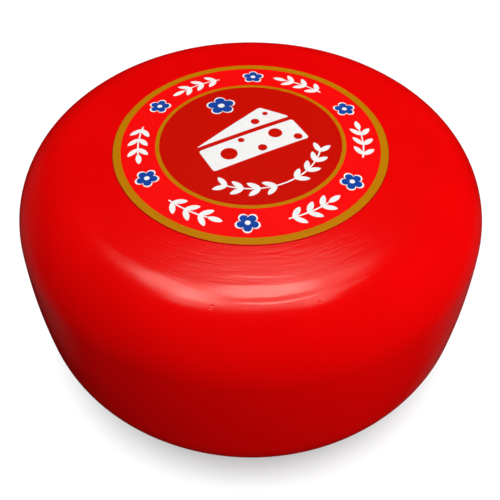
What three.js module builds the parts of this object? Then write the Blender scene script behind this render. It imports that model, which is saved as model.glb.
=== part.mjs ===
// A squat wheel of semi-hard cheese under a coat of red wax, with a round paper label glued to its top.
// Millimetres, +Z up. The origin is the middle of the flat base that the wheel stands on.
import * as THREE from "three";

// Driving dimensions of the wheel
const WHEEL_RADIUS = 110; // at the widest point of the side
const WHEEL_HEIGHT = 118; // at the middle of the domed top
const WIDEST_HEIGHT = 58; // of the side's widest point above the base
const DOME_RADIUS = 840; // the top's slight crown
const SHOULDER_RADIUS = 32; // the rounded edge between the top and the side
const SIDE_RADIUS = 355; // the side's slight bulge
const FOOT_RADIUS = 38; // the rounded edge between the side and the base

// Driving dimensions of the label
const LABEL_RADIUS = 61.7;
const LABEL_THICKNESS = 0.25;
const GLUE_LINE = 0.1; // between the wax and the paper

// Facets
const SIDES = 72; // round the axis, the same for the wheel and the label
const DOME_STEPS = 6;
const ROUNDING_STEPS = 11; // of the shoulder and of the foot
const SIDE_STEPS = 4;
const LABEL_STEPS = 4;

// Colours and finishes
const RED_WAX = { color: 0xe60000, roughness: 0.34, metalness: 0 };
const RED_PAPER = { color: 0xff1212, roughness: 0.5, metalness: 0 };

// Profiles lie in the plane of a lathe: x is the distance from the axis and y the height above the base.
const point = (x, y) => new THREE.Vector2(x, y);

// The circle that the dome's profile follows, centred on the axis.
const dome = { centre: point(0, WHEEL_HEIGHT - DOME_RADIUS), radius: DOME_RADIUS };

// The circle that the side's profile follows.
const side = { centre: point(WHEEL_RADIUS - SIDE_RADIUS, WIDEST_HEIGHT), radius: SIDE_RADIUS };

// The circle of the given radius that touches both the dome's and the side's circles from inside.
function shoulderCircle(radius) {
  const toDome = dome.radius - radius;
  const toSide = side.radius - radius;
  const apart = dome.centre.distanceTo(side.centre);
  const along = (toDome ** 2 - toSide ** 2 + apart ** 2) / (2 * apart);
  const across = Math.sqrt(toDome ** 2 - along ** 2);
  const way = side.centre.clone().sub(dome.centre).normalize();
  const outward = point(way.y, -way.x);
  const sign = Math.sign(outward.x);
  const centre = dome.centre.clone().addScaledVector(way, along).addScaledVector(outward, sign * across);
  return { centre, radius };
}

// The circle of the given radius that touches the side's circle from inside and stands on the base plane.
function footCircle(radius) {
  const reach = Math.sqrt((side.radius - radius) ** 2 - (radius - side.centre.y) ** 2);
  return { centre: point(side.centre.x + reach, radius), radius };
}

// The slope, from straight up, at which a circle inside another touches it.
function meetingSlope(outer, inner) {
  const offset = inner.centre.clone().sub(outer.centre);
  return Math.atan2(offset.x, offset.y);
}

// Points along a circle from one slope to another, the first left out as the arc before it ends there.
function arc(circle, from, to, steps) {
  const points = [];
  for (let i = 1; i <= steps; i += 1) {
    const slope = from + ((to - from) * i) / steps;
    const out = point(Math.sin(slope), Math.cos(slope));
    points.push(circle.centre.clone().addScaledVector(out, circle.radius));
  }
  return points;
}

// The wheel's half section, from the top's middle down its outside to the middle of the base.
function wheelProfile() {
  const shoulder = shoulderCircle(SHOULDER_RADIUS);
  const foot = footCircle(FOOT_RADIUS);
  const domeEnd = meetingSlope(dome, shoulder);
  const shoulderEnd = meetingSlope(side, shoulder);
  const sideEnd = meetingSlope(side, foot);
  return [
    point(0, WHEEL_HEIGHT),
    ...arc(dome, 0, domeEnd, DOME_STEPS),
    ...arc(shoulder, domeEnd, shoulderEnd, ROUNDING_STEPS),
    ...arc(side, shoulderEnd, sideEnd, SIDE_STEPS),
    ...arc(foot, sideEnd, Math.PI, ROUNDING_STEPS),
    point(0, 0),
  ];
}

// The label's half section: the dome's curve lifted by the glue line, and again by the paper's thickness.
function labelProfile() {
  const slope = Math.asin(LABEL_RADIUS / DOME_RADIUS);
  const under = [point(0, WHEEL_HEIGHT), ...arc(dome, 0, slope, LABEL_STEPS)];
  const lifted = (lift) => under.map((p) => point(p.x, p.y + lift));
  return [...lifted(GLUE_LINE + LABEL_THICKNESS), ...lifted(GLUE_LINE).reverse()];
}

// A named mesh turned about +Z from a profile that starts at the top. The lathe's own axis is +Y.
function turned(name, profile, finish) {
  const geometry = new THREE.LatheGeometry(profile.reverse(), SIDES);
  geometry.rotateX(Math.PI / 2);
  const mesh = new THREE.Mesh(geometry, new THREE.MeshStandardMaterial(finish));
  mesh.name = name;
  return mesh;
}

const cheese = new THREE.Group();
cheese.add(turned("cheese_wheel", wheelProfile(), RED_WAX));
cheese.add(turned("label", labelProfile(), RED_PAPER));

export default cheese;
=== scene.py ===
"""A squat wheel of cheese in red wax, with a printed paper label glued to its top.

The file is laid out as an add-on: settings, one operator for each piece or group of like pieces, and a panel.
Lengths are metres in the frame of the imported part, with +Z up and the photograph's camera on the -Y side.
"""

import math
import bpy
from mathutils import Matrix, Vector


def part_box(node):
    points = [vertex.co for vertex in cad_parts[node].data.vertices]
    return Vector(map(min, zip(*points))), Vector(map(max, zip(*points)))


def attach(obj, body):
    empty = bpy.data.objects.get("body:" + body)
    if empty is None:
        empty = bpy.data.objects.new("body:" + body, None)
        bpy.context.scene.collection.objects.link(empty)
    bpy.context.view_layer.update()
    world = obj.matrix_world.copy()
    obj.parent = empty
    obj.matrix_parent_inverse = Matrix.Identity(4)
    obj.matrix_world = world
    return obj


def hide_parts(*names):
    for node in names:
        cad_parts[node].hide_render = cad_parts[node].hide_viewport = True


bl_info = {
    "name": "Waxed Cheese Wheel",
    "version": (1, 0, 0),
    "blender": (4, 5, 0),
    "location": "View3D > Sidebar > Cheese",
    "description": "Models a cheese wheel in red wax with a printed label, and the stage it is shown on",
    "category": "Add Mesh",
}

from contextlib import contextmanager

import bmesh
import bpy
from bpy.props import FloatProperty, FloatVectorProperty, PointerProperty
from mathutils import Vector
from mathutils.geometry import intersect_sphere_sphere_2d

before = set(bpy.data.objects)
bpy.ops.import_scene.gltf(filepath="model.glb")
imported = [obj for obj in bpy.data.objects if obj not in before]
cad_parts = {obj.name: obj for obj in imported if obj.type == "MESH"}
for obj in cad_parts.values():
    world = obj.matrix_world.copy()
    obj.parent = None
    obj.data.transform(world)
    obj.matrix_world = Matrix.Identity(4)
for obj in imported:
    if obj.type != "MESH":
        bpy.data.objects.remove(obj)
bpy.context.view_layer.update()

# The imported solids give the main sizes
WHEEL_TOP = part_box("cheese_wheel")[1]
LABEL_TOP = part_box("label")[1]

BODY = "root"
MM = 0.001
FULL_TURN = 2 * math.pi


# Settings


def length(name, description, default):
    """A length that a user may change."""
    return FloatProperty(
        name=name, description=description, default=default, min=0, precision=5, unit="LENGTH"
    )


def colour(name, description, default):
    """A colour that a user may change, as linear light."""
    return FloatVectorProperty(
        name=name, description=description, default=default, size=3, min=0, max=1, subtype="COLOR"
    )


def share(name, description, default):
    """A number from nought to one."""
    return FloatProperty(name=name, description=description, default=default, min=0, max=1, subtype="FACTOR")


class WheelSettings(bpy.types.PropertyGroup):
    """The wheel's half section, its relief and its wax."""

    radius: length("Radius", "Of the side at its widest", WHEEL_TOP.x)
    height: length("Height", "Of the domed top's middle above the base", WHEEL_TOP.z)
    widest_height: length("Widest Height", "Of the side's widest point above the base", 58 * MM)
    dome_radius: length("Dome", "Radius of the top's slight crown", 840 * MM)
    shoulder_radius: length("Shoulder", "Radius of the edge between the top and the side", 32 * MM)
    side_radius: length("Side", "Radius of the side's slight bulge", 355 * MM)
    foot_radius: length("Foot", "Radius of the edge between the side and the base", 38 * MM)
    unevenness: length("Unevenness", "How far the wheel strays from true", 0.3 * MM)
    brush_depth: length("Brush Waves", "Depth of the waves that the wax brush left round the top", 0.028 * MM)
    line_depth: length("Brush Lines", "Depth of the thin lines between the waves", 0.026 * MM)
    groove_depth: length("Groove", "Depth of the groove between two coats on the shoulder", 0.12 * MM)
    pit_depth: length("Pits", "Depth of the pits that bubbles left in the wax", 0.15 * MM)
    wax_red: colour("Wax", "Red of the wax", (0.86, 0.0012, 0.0012))
    wax_deep: colour("Deep Wax", "Red of the wax where it lies thick", (0.80, 0.0008, 0.001))
    wax_roughness: share("Wax Roughness", "Of the smooth wax", 0.16)


class LabelSettings(bpy.types.PropertyGroup):
    """The label's paper and print."""

    radius: length("Radius", "Of the paper", LABEL_TOP.x)
    thickness: length("Paper", "Thickness of the paper", 0.25 * MM)
    glue: length("Glue", "Thickness of the glue under the paper", 0.05 * MM)
    # The dark ring that shows beyond the paper's edge is painted shade: a shadow line under the paper
    edge_shade_width: length("Glue Edge", "How far the glue shows beyond the paper", 0.3 * MM)
    ink: length("Ink", "Thickness of one coat of ink", 0.03 * MM)
    rim_width: length("Rim", "Width of the gold ring at the paper's edge", 3.5 * MM)
    inner_ring_radius: length("Inner Ring", "Outer radius of the inner gold ring", 42.75 * MM)
    inner_ring_width: length("Inner Ring Width", "Width of the inner gold ring", 1.75 * MM)
    turn: FloatProperty(
        name="Turn", description="How far the label is turned on the wheel", default=0.5, subtype="ANGLE"
    )
    # Painted shade: this dark red stands in for the shadow line along the paper's edge
    edge_shade_red: colour("Glue", "Dark red of the glue and wax along the paper's edge", (0.2, 0.002, 0.001))
    band_red: colour("Band", "Bright red of the paper", (0.92, 0.003, 0.003))
    middle_red: colour("Middle", "Darker red of the middle field", (0.56, 0.004, 0.0005))
    gold: colour("Gold", "Gold of the rings", (0.5, 0.19, 0.001))
    white: colour("White", "White of the ornaments", (0.88, 0.87, 0.85))
    blue: colour("Blue", "Blue of the florets", (0.008, 0.055, 0.33))


class StageSettings(bpy.types.PropertyGroup):
    """The camera and the floor."""

    lens: FloatProperty(name="Lens", description="Focal length in millimetres", default=50, min=1)
    camera_distance: length("Distance", "From the camera to its target", 366.8 * MM)
    camera_height: FloatProperty(
        name="Elevation", description="Angle of the camera above the floor", default=math.radians(48.23),
        subtype="ANGLE",
    )
    target_height: length("Target", "Height of the camera's target above the base", 43.8 * MM)
    target_aside: FloatProperty(
        name="Aside", description="How far the target lies to the right of the wheel's axis",
        default=-0.3 * MM, precision=5, unit="LENGTH",
    )
    floor_colour: colour("Floor", "Colour of the floor", (0.17, 0.175, 0.175))
    floor_glow: share("Floor Glow", "Light that the floor gives off, so that its shadows stay pale", 0.94)


# Editing


def make_active(piece):
    """Leave one object selected and active."""
    bpy.ops.object.select_all(action="DESELECT")
    piece.select_set(True)
    bpy.context.view_layer.objects.active = piece


@contextmanager
def editing(piece):
    """Edit mode on one piece."""
    make_active(piece)
    bpy.ops.object.mode_set(mode="EDIT")
    yield
    bpy.ops.object.mode_set(mode="OBJECT")


def apply_modifier(piece, kind, **settings):
    """Add a modifier, set it and apply it."""
    make_active(piece)
    modifier = piece.modifiers.new(kind.title(), kind)
    for name, value in settings.items():
        setattr(modifier, name, value)
    bpy.ops.object.modifier_apply(modifier=modifier.name)


def named(name):
    """Give the object that was just added its name."""
    piece = bpy.context.object
    piece.name = name
    piece.data.name = name
    return piece


def finish_piece(piece, material, replaced=()):
    """Give a piece its material and slot, and let it ride on the wheel."""
    piece.data.materials.clear()
    piece.data.materials.append(material)
    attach(piece, BODY)
    if replaced:
        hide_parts(*replaced)


# Node trees


class Wire:
    """An output socket of a node tree. Arithmetic on wires adds Math nodes."""

    def __init__(self, tree, socket=None):
        self.tree = tree
        self.socket = socket

    def node(self, kind, settings=None, inputs=None, output=0):
        """Add a node of any kind: its settings first, then the values or links of its sockets."""
        made = self.tree.nodes.new(kind)
        for name, value in (settings or {}).items():
            setattr(made, name, value)
        for name, value in (inputs or {}).items():
            self.feed(made.inputs[name], value)
        return Wire(self.tree, made.outputs[output] if made.outputs else None)

    def feed(self, socket, value):
        """Link a wire to a socket, or set the socket's own value."""
        if isinstance(value, Wire):
            self.tree.links.new(value.socket, socket)
        else:
            socket.default_value = value

    def math(self, operation, *values):
        """Add a Math node."""
        return self.node("ShaderNodeMath", {"operation": operation}, dict(enumerate(values)))

    def __add__(self, other):
        return self.math("ADD", self, other)

    def __radd__(self, other):
        return self.math("ADD", other, self)

    def __sub__(self, other):
        return self.math("SUBTRACT", self, other)

    def __rsub__(self, other):
        return self.math("SUBTRACT", other, self)

    def __mul__(self, other):
        return self.math("MULTIPLY", self, other)

    def __truediv__(self, other):
        return self.math("DIVIDE", self, other)

    def __pow__(self, other):
        return self.math("POWER", self, other)

    def part(self, index):
        """One coordinate of a vector wire."""
        return self.node("ShaderNodeSeparateXYZ", inputs={0: self}, output=index)

    def vector(self, x, y, z):
        """A vector wire from three numbers or wires."""
        return self.node("ShaderNodeCombineXYZ", inputs={0: x, 1: y, 2: z})

    def rise(self, low, high):
        """A smooth rise from nought to one as this wire goes from low to high."""
        inputs = {"Value": self, "From Min": low, "From Max": high}
        return self.node("ShaderNodeMapRange", {"interpolation_type": "SMOOTHSTEP"}, inputs)

    def noise(self, scale, detail=2.0):
        """Cloudy noise about nought, from minus a half to a half, at the place this wire gives."""
        inputs = {"Vector": self, "Scale": scale, "Detail": detail}
        return self.node("ShaderNodeTexNoise", inputs=inputs) - 0.5

    def blend(self, first, second):
        """A colour between two, by this wire."""
        inputs = {0: self, 6: first, 7: second}
        return self.node("ShaderNodeMix", {"data_type": "RGBA"}, inputs, output=2)


def opaque(rgb):
    """A colour property as a socket's value."""
    return (*rgb, 1.0)


class Finish:
    """A new material with one Principled shader."""

    def __init__(self, name, **constants):
        self.material = bpy.data.materials.new(name)
        self.material.use_nodes = True
        self.shader = self.material.node_tree.nodes["Principled BSDF"]
        self.root = Wire(self.material.node_tree)
        self.place = self.root.node("ShaderNodeTexCoord", output=3)
        for socket, value in constants.items():
            self.shader.inputs[socket.replace("_", " ")].default_value = value

    def feed(self, socket, wire):
        """Link a wire to one of the shader's sockets."""
        self.root.feed(self.shader.inputs[socket], wire)

    def bump(self, height):
        """Raise the surface in the shading by a height in metres."""
        inputs = {"Height": height, "Strength": 1.0, "Distance": 1.0}
        self.feed("Normal", self.root.node("ShaderNodeBump", inputs=inputs))


# The wheel


WHEEL_SIDES = 384
BRUSHED_STEP = 0.3 * MM  # between the half section's points where the wax is brushed
BRUSHED_SLOPE = math.radians(38)  # of the shoulder, where the brushed part ends
SHOULDER_STEP = 1 * MM  # between those of the shoulder below it
SIDE_STEP = 2 * MM  # between those of the side and the foot
COARSE_STEP = 6 * MM  # between those under the label and on the base
WELD_GAP = 0.001 * MM  # below which two points are made one
UNEVEN_WAVE = 95 * MM
LEVEL_FOOT = (4 * MM, 26 * MM)  # the heights between which the base's flatness gives way

# The brush marks
BRUSH_START = (60 * MM, 66 * MM)  # from the axis, where they begin beyond the label
BRUSH_END = (110.5 * MM, 114 * MM)  # above the base, where they end on the shoulder
BRUSHED_REACH = 80 * MM  # from the axis to about the middle of the brushed part
BRUSH_RUN = 20 * MM  # how long a wave or a line runs
BRUSH_WAVE = 2.2 * MM  # from one wave of the brush to the next
LINE_WAVE = 1.1 * MM  # from one thin line to the next
LINE_EDGE = 0.06  # the level of the noise at a line's edge
LINE_PATCH = 16 * MM  # the size of the patches where lines show
LINE_PATCH_LEVELS = (-0.35, 0.05)  # of the noise, from no lines to full ones

# The groove and the pits
GROOVE_REACH = 87.2 * MM  # from the axis
GROOVE_RUN = 45 * MM  # from one bend to the next
GROOVE_STRAY = 3 * MM  # how far the groove wanders
GROOVE_WIDTH = 0.8 * MM
GROOVE_SIDE = (-28 * MM, 12 * MM)  # along X, where it begins
GROOVE_FADE = (24 * MM, 52 * MM)  # along X, where it fades out
UPPER_HALF = (60 * MM, 100 * MM)  # above the base, so that the foot has no groove
PITS = [Vector(spot) * MM for spot in [(-14.5, -88.4, 111.8), (-14.9, -89.4, 111.4), (25.5, -86.4, 111.6)]]
PIT_RADIUS = 0.6 * MM
PIT_REACH = 2.4 * MM  # round each pit, where the mesh is finer
PIT_CUTS = 5  # of each edge there

# The wax's finish
WAX_CLOUDS = 26.0  # of thicker wax, to a metre
WAX_CLOUD_LEVELS = (-0.3, 0.3)  # of the noise, from thin wax to thick
SMUDGES = 60.0  # to a metre
SMUDGE_ROUGHNESS = 0.06  # how far they change the roughness
BRUSHED_ROUGHNESS = 0.01  # what the brush marks add to it
SKIN_GRAINS = 420.0  # to a metre
SKIN_DEPTH = 0.004 * MM


def from_axis(place):
    """How far a point lies from the wheel's axis."""
    return (place.part(0) ** 2.0 + place.part(1) ** 2.0) ** 0.5


def over_shoulder(place):
    """A coordinate that grows along the half section, from the top's middle over the shoulder."""
    return (from_axis(place) - place.part(2)) * math.sqrt(0.5)


def round_the_axis(place, run, along=0.0):
    """A place for noise that is drawn out round the axis, with a coordinate along the half section."""
    reach = from_axis(place)
    turns = BRUSHED_REACH / run
    return place.vector(place.part(0) / reach * turns, place.part(1) / reach * turns, along)


def brush_waves(place):
    """Waves that the brush left round the top, from minus a half to a half."""
    along = over_shoulder(place) / BRUSH_WAVE
    return round_the_axis(place, BRUSH_RUN, along).noise(1.0, detail=1.0)


def brush_lines(place):
    """Thin lines round the top: one in a line, nought between."""
    along = over_shoulder(place) / LINE_WAVE
    level = round_the_axis(place, BRUSH_RUN, along).noise(1.0, detail=1.0)
    patch = place.noise(1 / LINE_PATCH).rise(*LINE_PATCH_LEVELS)
    return (1.0 - level.math("ABSOLUTE", level).rise(0.0, LINE_EDGE)) * patch


def brushed_zone(place):
    """One where the brush left its marks, nought elsewhere."""
    return from_axis(place).rise(*BRUSH_START) * place.part(2).rise(*BRUSH_END)


def groove(place):
    """A shallow groove round the shoulder, in front and behind: one at its bottom, nought beside it."""
    stray = round_the_axis(place, GROOVE_RUN).noise(1.0) * GROOVE_STRAY
    aside = (from_axis(place) - GROOVE_REACH - stray) / GROOVE_WIDTH
    stretch = place.part(0).rise(*GROOVE_SIDE) * (1.0 - place.part(0).rise(*GROOVE_FADE))
    return aside.math("EXPONENT", aside * aside * -1.0) * stretch * place.part(2).rise(*UPPER_HALF)


def pits(place):
    """The pits that bubbles left: one at their bottoms, nought round them."""
    total = 0.0
    for pit in PITS:
        away = place.node("ShaderNodeVectorMath", {"operation": "DISTANCE"}, {0: place, 1: pit}, output=1)
        total = total + (1.0 - away.rise(0.0, PIT_RADIUS))
    return total


def half_section(wheel):
    """Points of the wheel's half section, from the top's middle round to the base's middle."""
    dome = Vector((0, wheel.height - wheel.dome_radius))
    side = Vector((wheel.radius - wheel.side_radius, wheel.widest_height))
    meetings = intersect_sphere_sphere_2d(
        dome, wheel.dome_radius - wheel.shoulder_radius, side, wheel.side_radius - wheel.shoulder_radius
    )
    shoulder = max(meetings, key=lambda point: point.x)
    rise = wheel.foot_radius - side.y
    run = math.sqrt((wheel.side_radius - wheel.foot_radius) ** 2 - rise ** 2)
    foot = Vector((side.x + run, wheel.foot_radius))

    def slope(outer, inner):
        """The turn at which two arcs meet, by their centres."""
        return math.atan2(inner.x - outer.x, inner.y - outer.y)

    turns = [
        0,
        math.asin(BRUSH_START[0] / wheel.dome_radius),
        slope(dome, shoulder),
        BRUSHED_SLOPE,
        slope(side, shoulder),
        slope(side, foot),
        math.pi,
    ]
    arcs = [
        (dome, wheel.dome_radius, COARSE_STEP),
        (dome, wheel.dome_radius, BRUSHED_STEP),
        (shoulder, wheel.shoulder_radius, BRUSHED_STEP),
        (shoulder, wheel.shoulder_radius, SHOULDER_STEP),
        (side, wheel.side_radius, SIDE_STEP),
        (foot, wheel.foot_radius, SIDE_STEP),
    ]
    points = [Vector((0, wheel.height))]
    for (centre, radius, step), start, end in zip(arcs, turns, turns[1:]):
        count = math.ceil(radius * (end - start) / step)
        for i in range(1, count + 1):
            turn = start + (end - start) * i / count
            points.append(centre + radius * Vector((math.sin(turn), math.cos(turn))))
    base_reach = points[-1].x
    count = math.ceil(base_reach / COARSE_STEP)
    points.extend(Vector((base_reach * (1 - i / count), 0)) for i in range(1, count + 1))
    return points


def spun_wheel(wheel):
    """Extrude the half section point by point and turn it about the axis."""
    points = half_section(wheel)
    bpy.ops.mesh.primitive_plane_add(size=MM, location=(0, 0, wheel.height))
    piece = named("cheese_wheel_wax")
    bpy.ops.object.transform_apply(location=True)
    with editing(piece):
        bpy.ops.mesh.select_all(action="SELECT")
        bpy.ops.mesh.merge(type="CENTER")
        for here, there in zip(points, points[1:]):
            step = (there.x - here.x, 0, there.y - here.y)
            bpy.ops.mesh.extrude_region_move(TRANSFORM_OT_translate={"value": step})
    apply_modifier(piece, "SCREW", angle=FULL_TURN, steps=WHEEL_SIDES, render_steps=WHEEL_SIDES)
    with editing(piece):
        bpy.ops.mesh.select_all(action="SELECT")
        bpy.ops.mesh.remove_doubles(threshold=WELD_GAP)
        bpy.ops.mesh.normals_make_consistent(inside=False)
    return piece


def refine_round_pits(piece):
    """Divide the faces round the pits, so that the mesh can take their shape."""
    with editing(piece):
        bpy.ops.mesh.select_all(action="DESELECT")
        mesh = bmesh.from_edit_mesh(piece.data)
        for vertex in mesh.verts:
            vertex.select = any((vertex.co - pit).length < PIT_REACH for pit in PITS)
        mesh.select_flush(True)
        bmesh.update_edit_mesh(piece.data)
        bpy.ops.mesh.subdivide(number_cuts=PIT_CUTS)


def raise_relief(piece, wheel):
    """Move the wheel's points along their normals: unevenness, brush marks, the groove and the pits."""
    tree = bpy.data.node_groups.new("wax_relief", "GeometryNodeTree")
    tree.interface.new_socket("Wheel", in_out="INPUT", socket_type="NodeSocketGeometry")
    tree.interface.new_socket("Wheel", in_out="OUTPUT", socket_type="NodeSocketGeometry")
    root = Wire(tree)
    smooth_wheel = root.node("NodeGroupInput")
    place = root.node("GeometryNodeInputPosition")
    normal = root.node("GeometryNodeInputNormal")
    above_base = place.part(2).rise(*LEVEL_FOOT)
    uneven = place.noise(1 / UNEVEN_WAVE, detail=1.0) * above_base * (2 * wheel.unevenness)
    brushed = brush_waves(place) * (2 * wheel.brush_depth) - brush_lines(place) * wheel.line_depth
    hollows = groove(place) * wheel.groove_depth + pits(place) * wheel.pit_depth
    raised = uneven + brushed * brushed_zone(place) - hollows
    offset = root.node("ShaderNodeVectorMath", {"operation": "SCALE"}, {0: normal, "Scale": raised})
    moved = root.node("GeometryNodeSetPosition", inputs={"Geometry": smooth_wheel, "Offset": offset})
    root.node("NodeGroupOutput", inputs={0: moved})
    apply_modifier(piece, "NODES", node_group=tree)
    bpy.data.node_groups.remove(tree)


def wax(wheel):
    """Smooth food wax, deeper in colour where it lies thick, with faint smudges and a fine skin."""
    finish = Finish("brushed_wax", Specular_IOR_Level=0.5)
    place = finish.place
    thick = place.noise(WAX_CLOUDS, detail=3.0).rise(*WAX_CLOUD_LEVELS)
    finish.feed("Base Color", thick.blend(opaque(wheel.wax_red), opaque(wheel.wax_deep)))
    smudged = place.noise(SMUDGES, detail=4.0) * SMUDGE_ROUGHNESS
    brushed = brushed_zone(place) * BRUSHED_ROUGHNESS
    finish.feed("Roughness", wheel.wax_roughness + smudged + brushed)
    finish.bump(place.noise(SKIN_GRAINS) * SKIN_DEPTH)
    return finish.material


class CHEESE_OT_wheel(bpy.types.Operator):
    """Spin the wheel's half section, give it its relief and wax it"""

    bl_idname = "cheese.wheel"
    bl_label = "Waxed Wheel"

    def execute(self, context):
        wheel = context.scene.cheese_wheel
        piece = spun_wheel(wheel)
        refine_round_pits(piece)
        raise_relief(piece, wheel)
        make_active(piece)
        bpy.ops.object.shade_smooth()
        finish_piece(piece, wax(wheel), ["cheese_wheel"])
        return {"FINISHED"}


# The label


ROUND_SIDES = 192  # of the paper and the rings
PAPER_RINGS = 14  # of faces in the paper
FIELD_RINGS = 9  # of faces in the middle field
ABOVE = 20 * MM  # above the top, where the flat shapes are drawn before they are laid down
SMOOTH_BELOW = math.radians(40)  # the angle between faces that are shaded as one
EDGE_SHADE_LAP = 2 * MM  # how far the dark ring of painted edge shade reaches under the paper
FIELD_LAP = 0.5 * MM  # how far the middle field reaches under the inner ring
PAPER_MARGIN = 0.05 * MM  # of paper outside the gold rim

# The ink's finish
INK_ROUGHNESS = 0.5
GOLD_ROUGHNESS = 0.45
INK_CLOUDS = 180.0  # of denser ink, to a metre
INK_SPREAD = 0.03  # how far they change the colour
INK_PATCHES = 300.0  # of duller ink, to a metre
PATCH_ROUGHNESS = 0.12  # how far they change the roughness
TOOTH_GRAINS = 900.0  # of the paper, to a metre
TOOTH_DEPTH = 0.003 * MM


def drawing_height(context):
    """The height at which flat shapes are drawn."""
    return context.scene.cheese_wheel.height + ABOVE


def disc(name, radius, height, rings):
    """A flat disc of concentric rings of faces."""
    bpy.ops.object.select_all(action="DESELECT")
    bpy.ops.mesh.primitive_circle_add(
        vertices=ROUND_SIDES, radius=radius, fill_type="NGON", location=(0, 0, height)
    )
    piece = named(name)
    bpy.ops.object.transform_apply(location=True)
    with editing(piece):
        bpy.ops.mesh.select_all(action="SELECT")
        for _ in range(rings - 1):
            bpy.ops.mesh.inset(thickness=radius / rings)
    return piece


def ring(name, inner, outer, height):
    """A flat ring."""
    bpy.ops.object.select_all(action="DESELECT")
    bpy.ops.mesh.primitive_circle_add(
        vertices=ROUND_SIDES, radius=outer, fill_type="NOTHING", location=(0, 0, height)
    )
    piece = named(name)
    bpy.ops.object.transform_apply(location=True)
    with editing(piece):
        bpy.ops.mesh.select_all(action="SELECT")
        bpy.ops.mesh.extrude_edges_move()
        bpy.ops.transform.resize(value=(inner / outer, inner / outer, 1), center_override=(0, 0, height))
    return piece


def face_up(piece):
    """Turn a flat shape's faces upwards."""
    if piece.data.polygons[0].normal.z < 0:
        with editing(piece):
            bpy.ops.mesh.select_all(action="SELECT")
            bpy.ops.mesh.flip_normals()


def lay_down(piece, target, thickness):
    """Lay a flat shape on what is under it and give it its thickness."""
    face_up(piece)
    apply_modifier(
        piece, "SHRINKWRAP", target=target, wrap_method="PROJECT", use_project_z=True,
        use_negative_direction=True, use_positive_direction=False,
    )
    apply_modifier(piece, "SOLIDIFY", thickness=thickness, offset=1.0)
    make_active(piece)
    bpy.ops.object.shade_smooth_by_angle(angle=SMOOTH_BELOW)


def printed(name, base, roughness=INK_ROUGHNESS):
    """Ink on coated paper: a faint mottle and the paper's fine tooth."""
    finish = Finish(name, Specular_IOR_Level=0.05)
    place = finish.place
    mottle = place.noise(INK_CLOUDS, detail=3.0).rise(-0.5, 0.5)
    lighter = opaque(min(1.0, (1 + INK_SPREAD) * channel) for channel in base)
    darker = opaque((1 - INK_SPREAD) * channel for channel in base)
    finish.feed("Base Color", mottle.blend(darker, lighter))
    finish.feed("Roughness", roughness + place.noise(INK_PATCHES) * PATCH_ROUGHNESS)
    finish.bump(place.noise(TOOTH_GRAINS) * TOOTH_DEPTH)
    return finish.material


def print_on_label(context, drawn):
    """Lay drawn pieces on the paper, each with its ink and its number of coats."""
    paper = bpy.data.objects["label_paper"]
    for piece, ink, coats in drawn:
        lay_down(piece, paper, coats * context.scene.cheese_label.ink)
        finish_piece(piece, ink)


class CHEESE_OT_label(bpy.types.Operator):
    """Glue the bright red paper to the top, with a dark ring of painted shade along its edge"""

    bl_idname = "cheese.label"
    bl_label = "Label Paper"

    def execute(self, context):
        label = context.scene.cheese_label
        wheel = bpy.data.objects["cheese_wheel_wax"]
        height = drawing_height(context)
        paper = disc("label_paper", label.radius, height, PAPER_RINGS)
        lay_down(paper, wheel, label.glue + label.thickness)
        finish_piece(paper, printed("label_red", label.band_red), ["label"])
        # A thin dark ring round the paper's edge, coloured as painted shade for the shadow line under the
        # paper
        edge = ring("label_edge_shade", label.radius - EDGE_SHADE_LAP, label.radius + label.edge_shade_width, height)
        lay_down(edge, wheel, label.glue)
        finish_piece(edge, printed("painted_edge_shade", label.edge_shade_red))
        return {"FINISHED"}


class CHEESE_OT_fields(bpy.types.Operator):
    """Print the darker middle and the gold rings"""

    bl_idname = "cheese.fields"
    bl_label = "Middle and Rings"

    def execute(self, context):
        label = context.scene.cheese_label
        height = drawing_height(context)
        ring_inside = label.inner_ring_radius - label.inner_ring_width
        middle = disc("label_middle", ring_inside + FIELD_LAP, height, FIELD_RINGS)
        rim = ring("gold_rim", label.radius - label.rim_width, label.radius - PAPER_MARGIN, height)
        inner_ring = ring("gold_inner_ring", ring_inside, label.inner_ring_radius, height)
        red = printed("middle_red", label.middle_red)
        gold = printed("gold_ink", label.gold, GOLD_ROUGHNESS)
        print_on_label(context, [(middle, red, 1), (rim, gold, 2), (inner_ring, gold, 2)])
        return {"FINISHED"}


# The label's ornaments


BAND_REPEATS = 6  # of the floret and the sprig round the band
PETALS = 5
PETAL_DIP = 0.62  # of a floret's radius, between two petals
PETAL_ROUNDING = 0.7  # the power that rounds the petals
FLORET_CORNERS = 60
FLORET_RADIUS = 5.4 * MM
FLORET_RIM = 0.8 * MM
FLORET_EYE = 1.2 * MM
FLORET_EYE_CORNERS = 16
LEAF_CORNERS = 20
LEAF_LENGTH = 6.6 * MM
LEAF_WIDTH = 2.6 * MM
LEAF_TAPER = 0.5  # the power that draws a leaf's ends to points
STEM_WIDTH = 0.7 * MM
SPRIG_CORNERS = 32  # of its stem
SPRIG_SPREAD = math.radians(11)  # of its stem to either side of its middle
SPRIG_LEAVES = (-0.8, -0.1, 0.6)  # the shares of the spread where pairs of leaves grow
SPRIG_LEAN = 0.75  # of its leaves from the stem, in radians

# The emblem, in millimetres about the label's middle
WEDGE_SIDE = [(-24, -11), (24, -11), (24, 4), (-24, 4)]  # the wedge's cut face
WEDGE_TOP = [(-24, 6.5), (24, 6.5), (15, 19)]  # with its tip to the left
WEDGE_HOLES = [  # each hole's place and radius
    (-13, -4, 3.8), (2, -7.4, 2.1), (12, -1.2, 3.2), (20, -8, 2.0),
    (-4, 1.6, 1.5), (8, 10.4, 2.0), (15, 13.6, 1.3),
]
CROWN_PLACE = (0, 29)  # of the floret above the wedge

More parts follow.
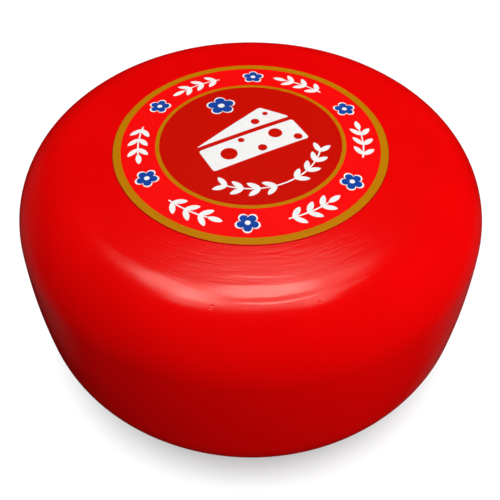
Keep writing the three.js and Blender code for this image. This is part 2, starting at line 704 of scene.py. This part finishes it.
# The emblem's other sizes
WEDGE_ROUNDING = 1.3 * MM  # of the wedge's corners
WEDGE_ROUNDING_STEPS = 4
WEDGE_CUTS = 6  # of its edges, so that it can follow the dome
HOLE_CORNERS = 28
CROWN_RADIUS = 1.3 * FLORET_RADIUS
CROWN_EYE = 1.6 * MM
CROWN_EYE_CORNERS = 20
GARLAND_CORNERS = 60  # of its stem
GARLAND_RADIUS = 31.5 * MM
GARLAND_SPREAD = math.radians(52)  # of its stem to either side of its middle
GARLAND_PAIRS = 4  # of leaves on either side
GARLAND_START = math.radians(8)  # from its middle to the first pair
GARLAND_STEP = math.radians(13)  # from one pair to the next
GARLAND_LEAN = 0.6  # of its leaves from the stem, in radians


def polar(radius, angle):
    """A flat point by its distance and direction."""
    return Vector((radius * math.cos(angle), radius * math.sin(angle)))


def turned(point, angle):
    """A flat point turned about the middle."""
    sine = math.sin(angle)
    cosine = math.cos(angle)
    return Vector((point.x * cosine - point.y * sine, point.x * sine + point.y * cosine))


def draw(corners, form, height, place=Vector((0, 0)), turn=0.0):
    """Add a filled circle to the mesh being edited, and move its corners to a turned form at a place."""
    bpy.ops.mesh.select_all(action="DESELECT")
    bpy.ops.mesh.primitive_circle_add(vertices=corners, radius=MM, fill_type="NGON", location=(0, 0, height))
    mesh = bmesh.from_edit_mesh(bpy.context.object.data)
    for vertex in mesh.verts:
        if vertex.select:
            angle = math.atan2(vertex.co.y, vertex.co.x) % FULL_TURN
            flat = place + turned(form(angle), turn)
            vertex.co = (flat.x, flat.y, height)
    bmesh.update_edit_mesh(bpy.context.object.data)


def polygon(points):
    """The form of a polygon, given in millimetres counterclockwise."""
    return lambda angle: Vector(points[round(angle / FULL_TURN * len(points)) % len(points)]) * MM


def round_form(radius):
    """The form of a disc."""
    return lambda angle: polar(radius, angle)


def floret_form(radius):
    """The form of a flower with round petals."""

    def form(angle):
        petal = abs(math.cos(PETALS / 2 * angle)) ** PETAL_ROUNDING
        return polar(radius * (PETAL_DIP + (1 - PETAL_DIP) * petal), angle)

    return form


def leaf_form(angle):
    """The form of a pointed leaf that grows along +X from its stalk."""
    wide = math.sin(angle) * abs(math.sin(angle)) ** LEAF_TAPER
    return Vector((LEAF_LENGTH * (0.5 + 0.5 * math.cos(angle)), LEAF_WIDTH / 2 * wide))


def stem_form(radius, spread):
    """The form of a thin arc about the label's middle, to either side of +X by the spread."""

    def form(angle):
        along = -spread * math.cos(angle)
        return polar(radius + STEM_WIDTH / 2 * (1 if angle < math.pi else -1), along)

    return form


def leaf_pair(place, along, lean, height):
    """Draw two leaves from one place on a stem, to either side of the way it grows."""
    for side in (-lean, lean):
        draw(LEAF_CORNERS, leaf_form, height, place, along + side)


@contextmanager
def print_plate(name):
    """A new flat mesh to draw on, in edit mode."""
    bpy.ops.object.select_all(action="DESELECT")
    bpy.ops.mesh.primitive_plane_add(size=MM)
    piece = named(name)
    with editing(piece):
        bpy.ops.mesh.select_all(action="SELECT")
        bpy.ops.mesh.delete(type="VERT")
        yield piece


def repeat_round(count):
    """Copy all that is drawn round the label's middle, to a number of places in all."""
    bpy.ops.mesh.select_all(action="SELECT")
    turn = FULL_TURN / count
    bpy.ops.mesh.spin(
        steps=count - 1, dupli=True, angle=turn * (count - 1), center=(0, 0, 0), axis=(0, 0, 1),
        use_auto_merge=False,
    )


class CHEESE_OT_band(bpy.types.Operator):
    """Print the florets and sprigs round the band"""

    bl_idname = "cheese.band"
    bl_label = "Band Ornaments"

    def execute(self, context):
        label = context.scene.cheese_label
        height = drawing_height(context)
        middle = (label.radius - label.rim_width + label.inner_ring_radius) / 2
        start = label.turn
        place = polar(middle, start)
        with print_plate("floret_rims") as rims:
            draw(FLORET_CORNERS, floret_form(FLORET_RADIUS), height, place, start)
            repeat_round(BAND_REPEATS)
        with print_plate("florets") as florets:
            draw(FLORET_CORNERS, floret_form(FLORET_RADIUS - FLORET_RIM), height, place, start)
            repeat_round(BAND_REPEATS)
        with print_plate("floret_eyes") as eyes:
            draw(FLORET_EYE_CORNERS, round_form(FLORET_EYE), height, place)
            repeat_round(BAND_REPEATS)
        with print_plate("sprigs") as sprigs:
            self.sprig(middle, start + math.pi / BAND_REPEATS, height)
            repeat_round(BAND_REPEATS)
        white = printed("white_ink", label.white)
        blue = printed("blue_ink", label.blue)
        print_on_label(context, [(rims, white, 2), (florets, blue, 3), (eyes, white, 4), (sprigs, white, 2)])
        return {"FINISHED"}

    def sprig(self, radius, middle, height):
        """A stem that follows the band, with pairs of leaves and one at its tip."""
        draw(SPRIG_CORNERS, stem_form(radius, SPRIG_SPREAD), height, turn=middle)
        for part_way in SPRIG_LEAVES:
            angle = middle + SPRIG_SPREAD * part_way
            leaf_pair(polar(radius, angle), angle + math.pi / 2, SPRIG_LEAN, height)
        tip = middle + SPRIG_SPREAD
        draw(LEAF_CORNERS, leaf_form, height, polar(radius, tip), tip + math.pi / 2)


class CHEESE_OT_emblem(bpy.types.Operator):
    """Print the wedge of cheese, its floret and its garland in the middle field"""

    bl_idname = "cheese.emblem"
    bl_label = "Emblem"

    def execute(self, context):
        height = drawing_height(context)
        turn = context.scene.cheese_label.turn
        with print_plate("emblem_wedge") as wedge:
            for points in (WEDGE_SIDE, WEDGE_TOP):
                draw(len(points), polygon(points), height, turn=turn)
                bpy.ops.mesh.bevel(offset=WEDGE_ROUNDING, segments=WEDGE_ROUNDING_STEPS, affect="VERTICES")
            bpy.ops.mesh.select_all(action="SELECT")
            bpy.ops.mesh.quads_convert_to_tris()
            bpy.ops.mesh.subdivide(number_cuts=WEDGE_CUTS)
        with print_plate("emblem_holes") as holes:
            for x, y, radius in WEDGE_HOLES:
                draw(HOLE_CORNERS, round_form(radius * MM), height, turned(Vector((x, y)) * MM, turn))
        with print_plate("emblem_garland") as garland:
            self.garland(height, turn - math.pi / 2)
        crown = turned(Vector(CROWN_PLACE) * MM, turn)
        with print_plate("emblem_floret_rim") as floret_rim:
            draw(FLORET_CORNERS, floret_form(CROWN_RADIUS), height, crown, turn)
        with print_plate("emblem_floret") as floret:
            draw(FLORET_CORNERS, floret_form(CROWN_RADIUS - FLORET_RIM), height, crown, turn)
        with print_plate("emblem_floret_eye") as eye:
            draw(CROWN_EYE_CORNERS, round_form(CROWN_EYE), height, crown)
        white = bpy.data.materials["white_ink"]
        blue = bpy.data.materials["blue_ink"]
        dark = bpy.data.materials["middle_red"]
        print_on_label(context, [
            (wedge, white, 2),
            (holes, dark, 3),
            (garland, white, 2),
            (floret_rim, white, 2),
            (floret, blue, 3),
            (eye, white, 4),
        ])
        return {"FINISHED"}

    def garland(self, height, middle):
        """Two leafy sprigs that meet at the middle, below the wedge."""
        for way in (-1, 1):
            for step in range(GARLAND_PAIRS):
                angle = middle + way * (GARLAND_START + GARLAND_STEP * step)
                leaf_pair(polar(GARLAND_RADIUS, angle), angle + way * math.pi / 2, GARLAND_LEAN, height)
        draw(GARLAND_CORNERS, stem_form(GARLAND_RADIUS, GARLAND_SPREAD), height, turn=middle)


# The stage


FLOOR_RADIUS = 0.9
FLOOR_SIDES = 128
PAINTED_SHADOW_REACH = (87 * MM, 117 * MM)  # from the axis, where the floor's glow rises from its painted shadow round the wheel to its full strength
PAINTED_SHADOW_GLOW = 0.4  # of the full strength under the wheel, where the dimmer glow is a painted contact shadow
SHOULDER = Vector((0, -80 * MM, 110 * MM))  # where the highlight lies
SOFTBOX_DISTANCE = 0.9
SOFTBOX_COLOUR = (1.0, 1.0, 0.88)
WHEEL_MIDDLE = Vector((0, 0, 60 * MM))
FILL_DISTANCE = 1.0
SENSOR_WIDTH = 36  # in millimetres
NEAREST_SEEN = 10 * MM  # from the camera
BACKDROP_LIGHT = 0.95  # of the surround, to the camera alone
SHEEN_LIGHT = 0.003  # of the surround, in the wax
CARD_EDGE = (math.cos(math.radians(24)), math.cos(math.radians(6)))  # from a card's outside to its full light
CARDS = [  # the way to each card's middle, and its light
    ((-0.75, 0.35, -0.55), 0.036),
    ((-0.8, 0.5, -0.15), 0.026),
    ((0.75, 0.35, -0.55), 0.023),
    ((0.3, 0.5, -0.81), 0.035),
]


class CHEESE_OT_stage(bpy.types.Operator):
    """Lay the floor, hang the lights and set the camera"""

    bl_idname = "cheese.stage"
    bl_label = "Stage"

    def execute(self, context):
        stage = context.scene.cheese_stage
        self.floor(stage)
        self.lights()
        self.world(context.scene)
        self.camera(context.scene, stage)
        return {"FINISHED"}

    def floor(self, stage):
        """A round pale floor with a glow of its own, dimmed round the wheel as a painted shadow, which
        neither mirrors in the wax nor lights it.
        """
        bpy.ops.object.select_all(action="DESELECT")
        bpy.ops.mesh.primitive_circle_add(vertices=FLOOR_SIDES, radius=FLOOR_RADIUS, fill_type="NGON")
        floor = named("floor")
        finish = Finish(
            "floor_white", Base_Color=opaque(stage.floor_colour), Roughness=0.9, Specular_IOR_Level=0.0,
            Emission_Strength=stage.floor_glow,
        )
        # Painted shadow: the floor's glow is dimmer near the wheel's foot
        glow = from_axis(finish.place).rise(*PAINTED_SHADOW_REACH).blend(opaque([PAINTED_SHADOW_GLOW] * 3), opaque([1] * 3))
        finish.feed("Emission Color", glow)
        floor.data.materials.append(finish.material)
        floor.visible_glossy = False
        floor.visible_diffuse = False

    def light(self, name, shape, place, target, size, power):
        """A soft light of a flat shape, aimed at a point."""
        way = target - place
        bpy.ops.object.light_add(
            type="AREA", location=place, rotation=way.to_track_quat("-Z", "Y").to_euler()
        )
        lamp = named(name)
        lamp.data.shape = shape
        lamp.data.size, lamp.data.size_y = size
        lamp.data.energy = power
        return lamp

    def softbox(self, name, sideways, lean, size, power):
        """A round softbox over the wheel, leaning back by degrees, that only the wax's gloss shows."""
        target = SHOULDER + Vector((sideways, 0, 0))
        turn = math.radians(lean)
        way = Vector((0, math.sin(turn), math.cos(turn)))
        lamp = self.light(name, "ELLIPSE", target + SOFTBOX_DISTANCE * way, target, size, power)
        lamp.data.color = SOFTBOX_COLOUR
        lamp.visible_diffuse = False

    def fill(self, name, azimuth, elevation, size, power):
        """A soft light round the wheel that leaves no reflection. Azimuth nought is the camera's side."""
        turn = math.radians(azimuth)
        rise = math.radians(elevation)
        way = Vector((math.sin(turn) * math.cos(rise), -math.cos(turn) * math.cos(rise), math.sin(rise)))
        lamp = self.light(name, "RECTANGLE", WHEEL_MIDDLE + FILL_DISTANCE * way, WHEEL_MIDDLE, size, power)
        lamp.data.cycles.use_multiple_importance_sampling = False
        lamp.visible_glossy = False

    def lights(self):
        """Softboxes for the shoulder's highlight, and fills over the wheel and round it."""
        self.softbox("softbox_wide", 0.06, 12, (0.8, 0.7), 0.92)
        self.softbox("softbox_middle", 0.04, 15, (0.32, 0.38), 1.7)
        self.softbox("softbox_back", 0, 20, (0.6, 0.5), 0.28)
        self.softbox("softbox_left", -0.2, 2, (0.2, 0.3), 0.48)
        self.softbox("softbox_far_left", -0.3, 10, (0.3, 0.4), 0.88)
        self.softbox("softbox_left_end", -0.4, 18, (0.28, 0.36), 0.12)
        self.softbox("softbox_front", 0, -6, (0.6, 0.2), 0.33)
        self.softbox("softbox_front_left", -0.25, -6, (0.3, 0.2), 0.35)
        self.softbox("softbox_front_right", 0.25, -6, (0.3, 0.2), 0.23)
        self.softbox("softbox_right", 0.28, 2, (0.2, 0.3), 0.22)
        self.softbox("softbox_back_right", 0.2, 22, (0.3, 0.4), 0.18)
        self.fill("high_left_fill", 270, 72, (0.5, 0.6), 2.0)
        self.fill("high_right_fill", 85, 62, (0.6, 0.5), 2.9)
        self.fill("left_fill", 270, 40, (0.4, 0.3), 2.7)
        self.fill("right_fill", 90, 40, (0.4, 0.3), 2.8)
        self.fill("near_right_fill", 55, 40, (0.7, 0.6), 1.0)
        self.fill("front_left_fill", 340, 10, (0.4, 0.3), 1.0)
        self.fill("front_right_fill", 20, 10, (0.4, 0.3), 2.1)
        self.fill("back_left_fill", 210, 45, (0.4, 0.3), 1.0)
        self.fill("back_right_fill", 150, 45, (0.4, 0.3), 0.8)
        self.fill("low_front_fill", 38, 2, (0.5, 0.1), 1.7)
        self.fill("low_back_fill", 180, 6, (0.9, 0.15), 2.6)
        self.fill("low_back_left_fill", 210, 0, (0.6, 0.1), 1.2)
        self.fill("low_back_right_fill", 150, 0, (0.6, 0.1), 2.0)
        self.fill("low_right_fill", 114, 0, (0.6, 0.1), 2.4)

    def world(self, scene):
        """A surround that is white to the camera, and to the wax a faint sheen with pale cards in it."""
        scene.world = bpy.data.worlds.new("surround")
        scene.world.use_nodes = True
        root = Wire(scene.world.node_tree)
        background = scene.world.node_tree.nodes["Background"]
        background.inputs["Color"].default_value = opaque((1, 1, 1))
        seen = root.node("ShaderNodeLightPath")
        way = root.node("ShaderNodeTexCoord")
        strength = seen * BACKDROP_LIGHT + SHEEN_LIGHT
        for middle, light in CARDS:
            inputs = {0: way, 1: Vector(middle).normalized()}
            facing = root.node("ShaderNodeVectorMath", {"operation": "DOT_PRODUCT"}, inputs, output=1)
            strength = strength + facing.rise(*CARD_EDGE) * light
        root.feed(background.inputs["Strength"], strength)
        scene.view_settings.view_transform = "Standard"

    def camera(self, scene, stage):
        """The photograph's camera."""
        rise = stage.camera_height
        away = Vector((0, -math.cos(rise), math.sin(rise))) * stage.camera_distance
        place = Vector((stage.target_aside, 0, stage.target_height)) + away
        bpy.ops.object.camera_add(location=place, rotation=(math.pi / 2 - rise, 0, 0))
        camera = named("camera")
        camera.data.lens = stage.lens
        camera.data.sensor_width = SENSOR_WIDTH
        camera.data.clip_start = NEAREST_SEEN
        scene.camera = camera


# The panel and the run


class CHEESE_PT_pieces(bpy.types.Panel):
    """The pieces of the cheese wheel"""

    bl_idname = "CHEESE_PT_pieces"
    bl_label = "Cheese Wheel"
    bl_space_type = "VIEW_3D"
    bl_region_type = "UI"
    bl_category = "Cheese"

    def draw(self, context):
        for operator in OPERATORS:
            self.layout.operator(operator.bl_idname)
        for group in SETTINGS:
            settings = getattr(context.scene, group)
            box = self.layout.box()
            for name in settings.__annotations__:
                box.prop(settings, name)


SETTINGS = {"cheese_wheel": WheelSettings, "cheese_label": LabelSettings, "cheese_stage": StageSettings}
OPERATORS = (
    CHEESE_OT_wheel, CHEESE_OT_label, CHEESE_OT_fields, CHEESE_OT_band, CHEESE_OT_emblem, CHEESE_OT_stage
)


def register():
    for settings in SETTINGS.values():
        bpy.utils.register_class(settings)
    for name, settings in SETTINGS.items():
        setattr(bpy.types.Scene, name, PointerProperty(type=settings))
    for shown in (*OPERATORS, CHEESE_PT_pieces):
        bpy.utils.register_class(shown)


def unregister():
    for shown in (CHEESE_PT_pieces, *reversed(OPERATORS)):
        bpy.utils.unregister_class(shown)
    for name, settings in SETTINGS.items():
        delattr(bpy.types.Scene, name)
        bpy.utils.unregister_class(settings)


def main():
    register()
    bpy.ops.cheese.wheel()
    bpy.ops.cheese.label()
    bpy.ops.cheese.fields()
    bpy.ops.cheese.band()
    bpy.ops.cheese.emblem()
    bpy.ops.cheese.stage()


if __name__ == "__main__":
    main()
